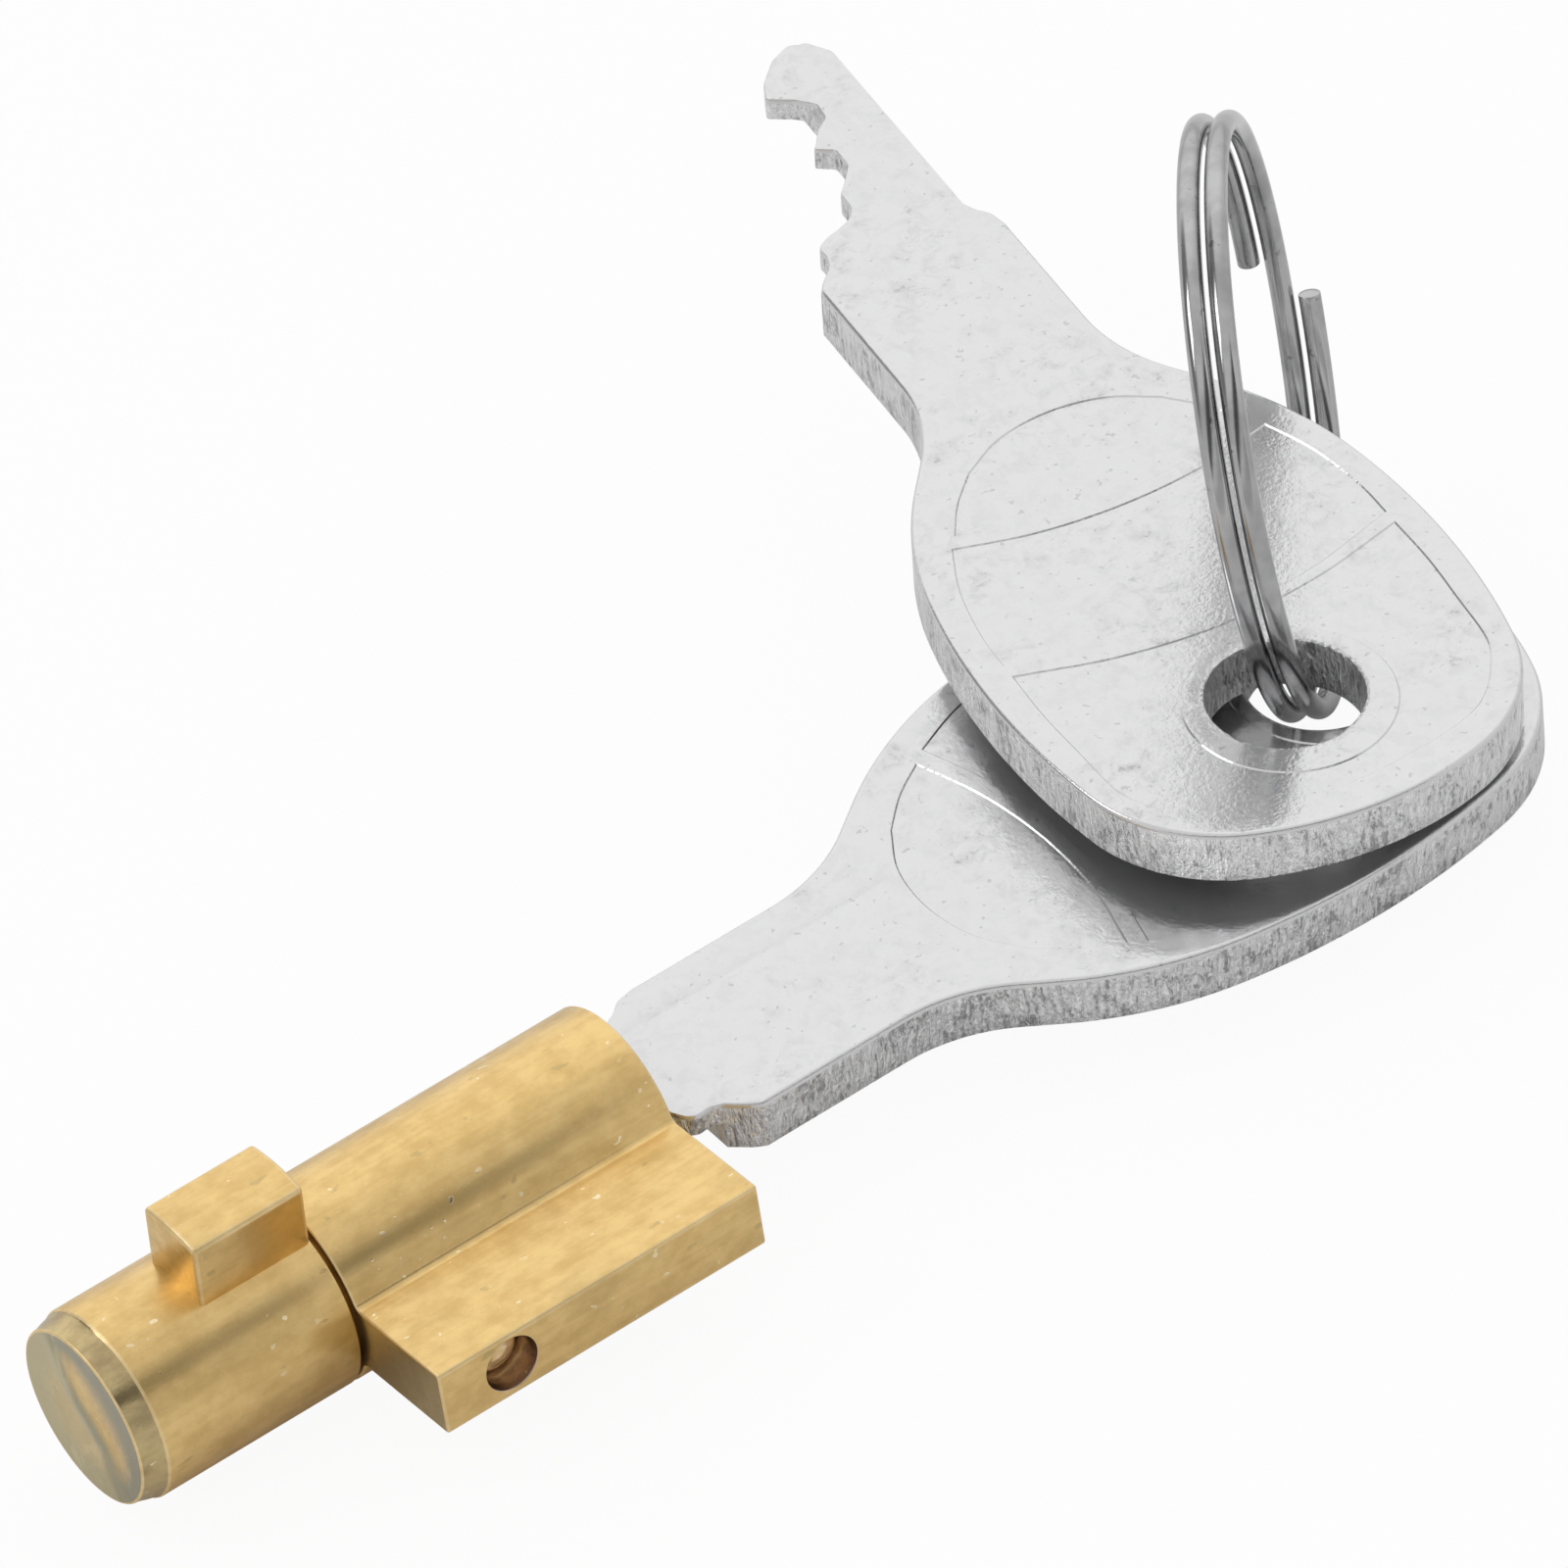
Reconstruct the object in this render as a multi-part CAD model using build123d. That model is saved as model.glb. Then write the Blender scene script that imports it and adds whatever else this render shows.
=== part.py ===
from build123d import *
import math
import os

# Showcase cylinder lock with one key in it, and a spare key on the same split ring.
# Millimetres. The origin is on the barrel's axis, at the seam between the fixed
# housing and the turning rotor. +X runs along the axis towards the key, the fin
# points to -Y, and +Z is up.

# housing
housing_length = 14.84
barrel_radius = 4.0
fin_face_y = -8.98
fin_under_z = -1.60
fin_over_z = 1.29
fin_root_fillet = 0.38
broken_edge = 0.15
bore_radius = 3.30
wafer_groove_radius = 3.65
wafer_groove_half_width = 2.35
wafer_groove_start = 5.5
wafer_groove_end = 14.45

# retaining pin, pressed into the fin; its tip runs in the rotor's round groove
pin_x = 3.2
pin_z = -0.105
pin_radius = 1.16
pin_hole_radius = 1.15
pin_tip_y = -2.47
pin_head_y = -7.9
pin_dome = 0.45

# rotor
seam_gap = 0.20
plug_radius = 3.25
tail_end_x = -10.07
tail_chamfer_length = 1.04
tail_end_radius = 3.70
neck_groove_start = 1.95
neck_groove_end = 4.45
neck_groove_radius = 2.35
lug_top_radius = 6.75
lug_near_side = -1.49
lug_far_side = 1.72
lug_start_x = -0.25
lug_end_x = -5.29
rotor_turn = 5.0

# key, drawn in its own plane: u along the blade from the shoulder, v across
key_thickness = 2.33
key_shoulder_x = 18.17
key_offset_v = -0.685
blade_back = 3.26
blade_tip_u = -14.33
stem_half_width = 4.13
bow_hole_u = 30.27
bow_hole_radius = 3.1
panel_depth = 0.09
boss_u = 30.65
boss_radius = 4.2
flute_v = 2.24
flute_width = 0.25
flute_end = 11.2
flute_depth = 0.06
milled_step_v = 1.4
milled_step_end = -1.2
milled_web = 1.0
keyway_clearance = 0.05
keyway_near = -2.04

# wafers, one for each cut of the key
wafer_u = (-9.95, -6.95, -4.45)
wafer_thickness = 0.8
wafer_half_width = 2.1
wafer_far_radius = 3.17
wafer_near_reach = -3.03
wafer_window = (-2.1, 2.77)
wafer_window_half = 1.24
wafer_slot_clearance = 0.05
ear_reach = 3.0
ear_low = 0.15
ear_high = 0.95

# wafer springs
spring_wire = 0.2
spring_mean_radius = 0.28
spring_pitch = 0.65
spring_turns = 2
spring_n = 2.62
spring_gap = 0.18

# spare key, given in the plane of the key in the lock: middle of its hole, the way its
# bow points, and the way its face looks; the coined pattern is struck a little askew
spare_hole = (26.467, -2.679, 3.230)
spare_along = (-0.1700, -0.9851, 0.0253)
spare_facing = (0.0449, 0.0179, 0.9988)
spare_slant = 0.025

# split ring
ring_centre = Vector(51.288, 5.130, 8.818)
ring_azimuth = -0.6922
ring_elevation = 0.0761
ring_radius = 11.40
ring_wire = 0.9
ring_pitch = 1.062
ring_end_a = 254.75
ring_end_b = 263.46
ring_normal = Vector(
    math.cos(ring_azimuth) * math.cos(ring_elevation),
    math.sin(ring_azimuth) * math.cos(ring_elevation),
    math.sin(ring_elevation),
)


def tilted(turn):
    """Plane of the keyway: x along the axis, y across the blade, z out of its face."""
    angle = math.radians(turn)
    return Plane(
        origin=(0, 0, 0),
        x_dir=(1, 0, 0),
        z_dir=(0, -math.sin(angle), math.cos(angle)),
    )


keyway_plane = tilted(rotor_turn)


def block(x0, x1, y0, y1, z0, z1):
    """Box between two corners."""
    solid = Box(x1 - x0, y1 - y0, z1 - z0)
    return Pos((x0 + x1) / 2, (y0 + y1) / 2, (z0 + z1) / 2) * solid


def rod(radius, x0, x1):
    """Cylinder on the X axis."""
    disc = Plane.YZ * Circle(radius)
    return Pos(x0, 0, 0) * extrude(disc, x1 - x0, dir=(1, 0, 0))


def biarc(start, start_dir, end, end_dir):
    """Two arcs in space that leave start and reach end along the given directions."""
    chord = end - start
    both = start_dir + end_dir
    bend = 2 * (1 - start_dir.dot(end_dir))
    lean = chord.dot(both)
    if bend < 1e-9:
        reach = chord.dot(chord) / (2 * lean)
    else:
        reach = (math.sqrt(lean * lean + bend * chord.dot(chord)) - lean) / bend
    first = start + start_dir * reach
    last = end - end_dir * reach
    middle = (first + last) * 0.5
    middle_dir = (last - first).normalized()
    one = Edge.make_tangent_arc(start, start_dir, middle)
    two = Edge.make_tangent_arc(middle, middle_dir, end)
    return [one, two]


def tube(stations, wire):
    """Round wire along biarcs through (point, direction) stations."""
    edges = []
    for near, far in zip(stations, stations[1:]):
        edges += biarc(near[0], near[1], far[0], far[1])
    path = Wire(edges)
    section = Plane(origin=stations[0][0], z_dir=stations[0][1]) * Circle(wire / 2)
    return sweep(section, path=path)


def least_gap(points, wire, apart):
    """Least surface gap between stretches that are more than apart along the wire."""
    step = (points[1] - points[0]).length
    skip = int(apart / step) + 1
    least = 1e9
    for index, point in enumerate(points):
        for other in points[index + skip::2]:
            least = min(least, (other - point).length)
    return least - wire


# housing: barrel and fin in one piece

def make_housing():
    ring = Circle(barrel_radius)
    fin = Pos((fin_face_y - 1.0) / 2, (fin_over_z + fin_under_z) / 2)
    fin = fin * Rectangle(-fin_face_y - 1.0, fin_over_z - fin_under_z)
    outline = ring + fin
    roots = []
    for corner in outline.vertices():
        if abs(math.hypot(corner.X, corner.Y) - barrel_radius) < 0.02:
            roots.append(corner)
    outline = fillet(roots, fin_root_fillet)
    tips = [corner for corner in outline.vertices() if corner.X < fin_face_y + 0.01]
    outline = fillet(tips, broken_edge)
    body = extrude(Plane.YZ * outline, housing_length, dir=(1, 0, 0))
    ends = []
    for edge in body.edges():
        middle = edge.center()
        if min(abs(middle.X), abs(middle.X - housing_length)) < 0.001:
            ends.append(edge)
    body = chamfer(ends, 0.1)
    body -= rod(bore_radius, -1, housing_length + 1)
    groove = rod(wafer_groove_radius, wafer_groove_start, wafer_groove_end)
    half = wafer_groove_half_width
    groove &= block(wafer_groove_start, wafer_groove_end, -5, 5, -half, half)
    body -= groove
    seat = Pos(pin_x, -6, pin_z) * Rot(90, 0, 0) * Cylinder(pin_hole_radius, 8)
    return body - seat


# retaining pin

def make_pin():
    length = pin_tip_y - pin_head_y
    body = Pos(pin_x, (pin_tip_y + pin_head_y) / 2, pin_z)
    body = body * Rot(90, 0, 0) * Cylinder(pin_radius, length)
    head = body.edges().sort_by(Axis.Y)[0]
    return fillet(head, pin_dome)


# rotor: plug, tail and lug in one piece

def keyway_outline(grow):
    """Cross-section of the blade's space, across (v) and through (n) the key."""
    half = key_thickness / 2 + grow
    back = blade_back + key_offset_v + grow
    near = keyway_near
    step = milled_step_v + key_offset_v - grow
    web = key_thickness / 2 - milled_web - grow
    corners = [(back, half), (near, half), (near, web), (step, web), (step, -half), (back, -half)]
    return make_face(Polyline(*corners, close=True))


def make_rotor():
    body = rod(plug_radius, -seam_gap - 0.5, housing_length)
    straight = tail_end_x + tail_chamfer_length
    body += rod(barrel_radius, straight, -seam_gap)
    cone_plane = Plane(origin=(tail_end_x + tail_chamfer_length / 2, 0, 0), z_dir=(1, 0, 0))
    body += cone_plane * Cone(tail_end_radius, barrel_radius, tail_chamfer_length)
    lug = block(lug_end_x, lug_start_x, lug_near_side, lug_far_side, 2.5, lug_top_radius + 1)
    lug &= rod(lug_top_radius, lug_end_x, lug_start_x)
    edges = [edge for edge in lug.edges() if edge.center().Z > 4.2]
    lug = fillet(edges, 0.14)
    body += Rot(rotor_turn, 0, 0) * lug
    groove = rod(plug_radius + 1, neck_groove_start, neck_groove_end)
    body -= groove - rod(neck_groove_radius, neck_groove_start, neck_groove_end)

    section = Plane(origin=(2.8, 0, 0), x_dir=(0, 1, 0), z_dir=(1, 0, 0))
    keyway = extrude(section * keyway_outline(keyway_clearance), 14)
    cuts = [keyway]
    for u in wafer_u:
        x = key_shoulder_x + u
        half = wafer_thickness / 2 + wafer_slot_clearance
        wide = wafer_half_width + wafer_slot_clearance
        cuts.append(block(x - half, x + half, -4, 4, -wide, wide))
        cuts.append(block(x - half, x + half, ear_low - 0.35, ear_high + 0.5, 1.5, 3.1))
        low = ear_low - spring_gap - spring_length() - 0.12
        pocket = Pos(x, (low + 0.1) / 2, spring_n) * Rot(90, 0, 0)
        cuts.append(pocket * Cylinder(spring_mean_radius + spring_wire / 2 + 0.06, 0.1 - low))
    turned = keyway_plane.location
    for cut in cuts:
        body -= turned * cut
    return body


# wafers and their springs

def spring_length():
    return spring_turns * spring_pitch + spring_wire


def make_wafer(u):
    x = key_shoulder_x + u
    half = wafer_thickness / 2
    plate = rod(wafer_far_radius, x - half, x + half)
    plate &= block(x - half, x + half, wafer_near_reach, 4, -wafer_half_width, wafer_half_width)
    ear = block(x - half, x + half, ear_low, ear_high, 1.6, ear_reach)
    low, high = wafer_window
    window = wafer_window_half
    plate += ear
    plate -= block(x - 1, x + 1, low, high, -window, window)
    return keyway_plane.location * plate


def make_spring(u):
    x = key_shoulder_x + u
    start_v = ear_low - spring_gap - spring_length() + spring_wire / 2
    stations = []
    points = []
    steps = spring_turns * 4
    for index in range(steps + 1):
        stations.append(spring_station(x, start_v, index * math.pi / 2))
    for index in range(spring_turns * 48 + 1):
        points.append(spring_station(x, start_v, index * math.pi / 24)[0])
    print("wafer spring: least gap to itself", round(least_gap(points, spring_wire, 1.0), 3))
    return keyway_plane.location * tube(stations, spring_wire)


def spring_station(x, start_v, angle):
    radius = spring_mean_radius
    rise = spring_pitch / (2 * math.pi)
    point = Vector(
        x + radius * math.cos(angle),
        start_v + rise * angle,
        spring_n + radius * math.sin(angle),
    )
    direction = Vector(-radius * math.sin(angle), rise, radius * math.cos(angle)).normalized()
    return point, direction


# keys

def bow_side(side):
    """Edges from the stem's start to the middle of the bow's far end, on one side."""
    u, v, heading = 0.0, stem_half_width, 0.0
    moves = [
        ("line", 6.6, 0),
        ("arc", 7.6, 35.6),
        ("line", 1.6, 0),
        ("arc", 16.8, -24.6),
        ("arc", 32.6, -22.5),
        ("arc", 6.9, -57.5),
    ]
    edges = []
    for kind, size, turn in moves:
        angle = math.radians(heading)
        if kind == "line":
            end = (u + size * math.cos(angle), v + size * math.sin(angle))
            edges.append(Line((u, side * v), (end[0], side * end[1])))
        else:
            after = math.radians(heading + turn)
            middle = math.radians(heading + turn / 2)
            sign = 1 if turn > 0 else -1
            centre = (u - sign * size * math.sin(angle), v + sign * size * math.cos(angle))
            via = (
                centre[0] + sign * size * math.sin(middle),
                centre[1] - sign * size * math.cos(middle),
            )
            end = (
                centre[0] + sign * size * math.sin(after),
                centre[1] - sign * size * math.cos(after),
            )
            edges.append(
                ThreePointArc((u, side * v), (via[0], side * via[1]), (end[0], side * end[1]))
            )
            heading += turn
        u, v = end
    half_turn = math.radians(90 + heading)
    far_radius = v / math.sin(half_turn)
    far_u = u + far_radius * (1 - math.cos(half_turn))
    quarter = half_turn / 2
    via = (far_u - far_radius * (1 - math.cos(quarter)), side * far_radius * math.sin(quarter))
    edges.append(ThreePointArc((u, side * v), via, (far_u, 0)))
    return edges


def key_outline():
    """Plan of the key: symmetric bow, back of the blade at +v, cuts on the -v side."""
    bitted = [
        (0.0, -stem_half_width),
        (-0.45, -3.85),
        (-1.2, -3.15),
        (-1.7, -2.95),
        (-2.3, -3.0),
        (-2.6, -2.8),
        (-2.9, -2.3),
        (-3.1, -1.7),
        (-3.45, -1.05),
        (-3.95, -0.7),
        (-4.95, -0.68),
        (-5.6, -0.15),
        (-6.4, 0.42),
        (-7.45, 0.43),
        (-7.95, -0.3),
        (-8.35, 0.02),
        (-8.95, 0.4),
        (-9.5, 1.05),
        (-10.4, 1.12),
        (-11.1, 0.45),
        (-11.7, -0.5),
        (-12.7, -0.08),
        (-13.8, 0.85),
        (blade_tip_u, 1.8),
        (-14.1, 2.6),
        (-13.1, blade_back),
        (-1.9, blade_back),
        (-1.4, 3.5),
        (-0.85, 3.95),
        (0.0, stem_half_width),
    ]
    edges = bow_side(1) + bow_side(-1) + [Polyline(*bitted)]
    face = make_face(edges)
    soft = []
    for corner in face.vertices():
        if blade_tip_u - 0.1 < corner.X < -0.1:
            soft.append(corner)
    return fillet(soft, 0.12)


def through(corners, slant):
    """Closed outline of arcs through every second point, leant over by the slant."""
    leant = [(u - slant * v, v) for u, v in corners]
    edges = []
    for index in range(0, len(leant), 2):
        last = leant[(index + 2) % len(leant)]
        edges.append(ThreePointArc(leant[index], leant[index + 1], last))
    return make_face(edges)


def key_panels(slant):
    """Shallow coined panels of the bow: an arch, a band, and the field round the hole."""
    arch = [(12.55, 4.3), (11.0, 0), (12.55, -4.3), (14.0, -5.6), (15.55, -6.55), (16.7, 0)]
    arch += [(15.55, 6.55), (14.0, 5.6)]
    band = [(16.15, 7.0), (17.35, 0), (16.15, -7.0), (19.5, -8.15), (23.2, -8.5), (25.0, 0)]
    band += [(23.2, 8.5), (19.5, 8.15)]
    field = [(23.85, 8.5), (25.5, 0), (23.85, -8.5), (28.5, -8.4), (32.6, -7.85), (34.6, -6.2)]
    field += [(35.6, -3.5), (36.0, 0), (35.6, 3.5), (34.6, 6.2), (32.6, 7.85), (28.5, 8.4)]
    boss = Pos(boss_u, 0) * Circle(boss_radius)
    return [through(arch, slant), through(band, slant), through(field, slant) - boss]


def make_key(slant):
    """Key about its own mid-plane, before it is placed."""
    half = key_thickness / 2
    body = Pos(0, 0, -half) * extrude(key_outline(), key_thickness)
    body -= Pos(bow_hole_u, 0, 0) * Cylinder(bow_hole_radius, key_thickness + 2)
    for panel in key_panels(slant):
        sunk = extrude(panel, panel_depth + 1)
        body -= Pos(0, 0, half - panel_depth) * sunk
        body -= Pos(0, 0, -half - 1) * sunk
    flute = block(-16, flute_end, flute_v - flute_width / 2, flute_v + flute_width / 2, 0, 2)
    body -= Pos(0, 0, half - flute_depth) * flute
    body -= block(-16, milled_step_end, -4.5, milled_step_v, -half - 1, half - milled_web)
    return body


def placed_key():
    """Where the key in the lock lies: its mid-plane holds the barrel's axis."""
    return keyway_plane.location * Pos(key_shoulder_x, key_offset_v, 0)


def spare_plane():
    """Where the spare key lies, just above the other key's bow."""
    facing = Vector(spare_facing).normalized()
    along = Vector(spare_along)
    along = (along - facing * along.dot(facing)).normalized()
    local = Plane(origin=spare_hole, x_dir=along, z_dir=facing)
    return local.location * Pos(-bow_hole_u, 0, 0)


# split ring

def ring_station(travel):
    """Point and direction on the wire, by the angle travelled from its end A."""
    across = ring_normal.cross(Vector(0, 0, 1)).normalized()
    top = across.cross(ring_normal).normalized()
    angle = math.radians(ring_end_a - travel)
    outward = top * math.cos(angle) + across * math.sin(angle)
    along = top * math.sin(angle) - across * math.cos(angle)
    whole = ring_end_a - ring_end_b + 720
    offset = ring_pitch * (whole / 2 - travel) / 360
    point = ring_centre + outward * ring_radius + ring_normal * offset
    lean = ring_pitch / (2 * math.pi * ring_radius)
    return point, (along - ring_normal * lean).normalized()


def make_split_ring():
    whole = ring_end_a - ring_end_b + 720
    stations = [ring_station(whole * index / 8) for index in range(9)]
    points = [ring_station(whole * index / 899)[0] for index in range(900)]
    print("split ring: least gap to itself", round(least_gap(points, ring_wire, 8.0), 3))
    return tube(stations, ring_wire)


def main():
    os.makedirs("parts", exist_ok=True)
    parts = {
        "housing": make_housing(),
        "retaining_pin": make_pin(),
        "rotor": make_rotor(),
        "lock_key": placed_key() * make_key(0),
        "spare_key": placed_key() * spare_plane() * make_key(spare_slant),
        "split_ring": make_split_ring(),
    }
    for number, u in enumerate(wafer_u, start=1):
        parts[f"wafer_{number}"] = make_wafer(u)
        parts[f"wafer_spring_{number}"] = make_spring(u)
    for name, shape in parts.items():
        shape.label = name
        export_step(shape, f"parts/{name}.step")
        print(name, "volume", round(shape.volume, 2))
    return parts


main()
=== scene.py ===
import math

import bmesh
import bpy
import numpy as np
from mathutils import Matrix, Vector
from mathutils.geometry import delaunay_2d_cdt


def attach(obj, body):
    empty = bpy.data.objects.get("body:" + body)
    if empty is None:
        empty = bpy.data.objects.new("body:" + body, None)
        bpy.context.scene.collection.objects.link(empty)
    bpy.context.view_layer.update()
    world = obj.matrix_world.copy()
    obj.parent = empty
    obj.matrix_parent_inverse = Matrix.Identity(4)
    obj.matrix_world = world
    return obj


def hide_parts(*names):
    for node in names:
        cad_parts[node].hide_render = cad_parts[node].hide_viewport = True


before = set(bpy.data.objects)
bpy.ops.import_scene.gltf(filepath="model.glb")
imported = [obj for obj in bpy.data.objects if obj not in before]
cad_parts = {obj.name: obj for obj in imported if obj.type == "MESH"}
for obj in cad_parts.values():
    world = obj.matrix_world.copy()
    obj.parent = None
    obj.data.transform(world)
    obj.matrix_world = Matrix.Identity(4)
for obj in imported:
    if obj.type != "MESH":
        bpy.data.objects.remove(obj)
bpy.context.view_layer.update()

# Lengths below are in millimetres in the lock's own frame: +X along the barrel
# towards the key, the fin to -Y, +Z up. They become metres when a mesh is made.
millimetre = 0.001
weldGap = 0.0015  # points of one piece closer than this become one
sliverGap = 0.0005  # edges shorter than this are taken out
norm = np.linalg.norm


class Wire:
    # a node's output that can be used in plain sums
    def __init__(self, look, socket):
        self.look = look
        self.socket = socket

    def __add__(self, other):
        return self.look.sum("ADD", self, other)

    def __sub__(self, other):
        return self.look.sum("SUBTRACT", self, other)

    def __mul__(self, other):
        return self.look.sum("MULTIPLY", self, other)

    def __truediv__(self, other):
        return self.look.sum("DIVIDE", self, other)

    def __radd__(self, other):
        return self.look.sum("ADD", other, self)

    def __rsub__(self, other):
        return self.look.sum("SUBTRACT", other, self)

    def __rmul__(self, other):
        return self.look.sum("MULTIPLY", other, self)


class Look:
    # one material or world, with a single way to make any node
    def __init__(self, name, owner=None):
        self.home = owner or bpy.data.materials.new(name)
        self.home.use_nodes = True
        self.tree = self.home.node_tree
        self.tree.nodes.clear()

    def node(self, kind, settings=None, inputs=None):
        made = self.tree.nodes.new(kind)
        for setting, value in (settings or {}).items():
            setattr(made, setting, value)
        for socket, value in (inputs or {}).items():
            if isinstance(value, Wire):
                self.tree.links.new(value.socket, made.inputs[socket])
            else:
                made.inputs[socket].default_value = value
        return made

    def wire(self, kind, settings=None, inputs=None, output=0):
        # a new node's output, ready for sums
        return Wire(self, self.node(kind, settings, inputs).outputs[output])

    def sum(self, operation, first, second=0.0, clamp=False):
        settings = {"operation": operation, "use_clamp": clamp}
        return self.wire("ShaderNodeMath", settings, {0: first, 1: second})

    def clamp(self, value):
        return self.sum("ADD", value, 0.0, True)

    def ramp(self, value, low, high):
        # 0 below low, 1 above high, smooth between
        settings = {"interpolation_type": "SMOOTHSTEP"}
        inputs = {"Value": value, "From Min": low, "From Max": high}
        return self.wire("ShaderNodeMapRange", settings, inputs)

    def mix(self, amount, first, second):
        inputs = {0: amount, 6: first, 7: second}
        return self.wire("ShaderNodeMix", {"data_type": "RGBA"}, inputs, 2)

    def place(self, scale=(1, 1, 1), turn=(0, 0, 0), shift=(0, 0, 0)):
        # the piece's own coordinates in metres, turned, moved and stretched
        spot = self.wire("ShaderNodeTexCoord", output=3)
        inputs = {0: spot, 1: shift, 2: turn, 3: scale}
        return self.wire("ShaderNodeMapping", {"vector_type": "POINT"}, inputs)

    def axes(self, spot):
        # the three parts of a vector
        split = self.node("ShaderNodeSeparateXYZ", None, {0: spot})
        return [Wire(self, part) for part in split.outputs]

    def noise(self, where, scale, detail=3.0, rough=0.55, distortion=0.0):
        inputs = {"Vector": where, "Scale": scale, "Detail": detail,
                  "Roughness": rough, "Distortion": distortion}
        return self.wire("ShaderNodeTexNoise", {"noise_dimensions": "3D"}, inputs)

    def bump(self, height, strength, distance, below=None):
        inputs = {"Strength": strength, "Distance": distance, "Height": height}
        if below is not None:
            inputs["Normal"] = below
        return self.wire("ShaderNodeBump", None, inputs)

    def metal(self, colour, rough, normal, metallic=1.0):
        inputs = {"Base Color": colour, "Roughness": rough, "Metallic": metallic, "Normal": normal}
        shader = self.wire("ShaderNodeBsdfPrincipled", None, inputs)
        self.node("ShaderNodeOutputMaterial", None, {"Surface": shader})
        return self.home


# brass: colours, and how strongly each mark shows
brassFinish = {
    "pale": (0.840, 0.600, 0.260, 1),
    "deep": (0.690, 0.470, 0.185, 1),
    "olive": (0.440, 0.350, 0.170, 1),
    "speck": (0.960, 0.840, 0.560, 1),
    # end face colours: a dull tone painted darker as painted shade, and darker on one side of the scar
    "scar": (0.530, 0.480, 0.310, 1),
    "scarDark": (0.330, 0.320, 0.250, 1),
    # painted shade along the end face's crease
    "creaseShade": (0.20, 0.17, 0.10, 1),
    "rough": 0.31,
    "grain": 0.10,
    "stains": 0.24,
    "specks": 0.7,
    "nicks": 0.45,
    # how strongly the end face's painted shade shows
    "dullShadedEnd": 0.92,
    "creaseShadeAmount": 0.22,
    "lights": 0.22,
    "scarLean": 0.47,
    "scarSide": (0.89, -0.455),
}

# other brass finishes, by what they change
brassKinds = {
    "pinBrass": {"pale": (0.86, 0.66, 0.42, 1), "rough": 0.16},
    "drilledBrass": {"pale": (0.62, 0.50, 0.40, 1), "deep": (0.46, 0.35, 0.28, 1), "rough": 0.25},
    # pale rubbed edges: real wear and a painted highlight along the edges
    "wornHighlitBrass": {"pale": (0.90, 0.70, 0.38, 1), "deep": (0.78, 0.57, 0.27, 1), "rough": 0.45},
    # the turned band, darker: a duller turned tone and painted shade
    "turnedShadedBrass": {"pale": (0.62, 0.49, 0.25, 1), "deep": (0.42, 0.32, 0.17, 1), "rough": 0.24},
}


def makeBrass(name, dullShadedEndX=None, values=brassFinish):
    # satin drawn brass: a fine even mottle, lengthwise lines, stained patches, bright specks
    look = Look(name)
    spot = look.place()
    cloud = look.noise(look.place((0.75, 1, 1)), 900.0, 5.0, 0.65)
    lines = look.noise(look.place((120, 3400, 3400)), 1.0, 3.0, 0.6)
    pits = look.noise(spot, 5200.0, 2.0, 0.5)
    warm = look.ramp(cloud + (lines - 0.5) * 0.35, 0.30, 0.74)
    colour = look.mix(warm, values["pale"], values["deep"])
    stain = look.ramp(look.noise(look.place((0.5, 1, 1)), 300.0, 4.0, 0.6), 0.54, 0.74)
    colour = look.mix(stain * values["stains"], colour, values["olive"])
    spots = look.ramp(look.noise(look.place((0.75, 1, 1)), 2600.0, 1.0, 0.4), 0.725, 0.755)
    crowd = look.ramp(look.noise(spot, 330.0, 2.0, 0.5), 0.42, 0.58)
    spots = look.clamp(spots * crowd)
    colour = look.mix(spots * values["specks"], colour, values["speck"])
    aside = look.place((0.5, 1, 1), shift=(0.01, 0, 0))
    nicks = look.ramp(look.noise(aside, 1700.0, 2.0, 0.5), 0.70, 0.75)
    colour = look.mix(nicks * values["nicks"], colour, values["olive"])
    rough = values["rough"] + (cloud - 0.5) * 0.12 + (lines - 0.5) * values["grain"] - spots * 0.15
    normal = look.bump(lines, 0.16, 0.00002)
    if dullShadedEndX is not None:
        # the end face: dull and painted darker as painted shade, darker on one side of the parting tool's
        # scar, with a painted shade line along its crease and pale streaks along the scar
        lean = (values["scarLean"], 0, 0)
        x, y, z = look.axes(look.place())
        # the end zone: rougher, and painted darker as painted shade
        dullShadedEnd = look.ramp(dullShadedEndX * millimetre - x, -0.00002, 0.00005)
        sweep = look.noise(look.place((1, 1, 0.5), lean), 330.0, 4.0, 0.55, 0.6)
        sideY, sideZ = values["scarSide"]
        across = y * sideY + z * sideZ + (sweep - 0.5) * 0.0022
        shade = look.mix(look.ramp(across, -0.0009, 0.0007), values["scarDark"], values["scar"])
        # painted shade: a dark line along the crease beside the ridge
        creaseShade = look.ramp(across, -0.00045, -0.0001) * (1 - look.ramp(across, -0.0001, 0.00035))
        shade = look.mix(creaseShade * values["creaseShadeAmount"], shade, values["creaseShade"])
        streaks = look.noise(look.place((1, 1, 0.4), lean), 800.0, 3.0, 0.6, 0.8)
        shade = look.mix(look.ramp(streaks, 0.56, 0.70) * values["lights"], shade, values["speck"])
        # painted shade: the end face's darker colour laid over the brass
        colour = look.mix(dullShadedEnd * values["dullShadedEnd"], colour, shade)
        rough = rough + dullShadedEnd * 0.06
        normal = look.bump(sweep * dullShadedEnd, 0.30, 0.00018, normal)
    normal = look.bump(pits, 0.18, 0.000015, normal)
    normal = look.bump(cloud, 0.12, 0.00006, normal)
    normal = look.bump(spots - nicks, 0.2, 0.00002, normal)
    return look.metal(colour, rough, normal)


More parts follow.
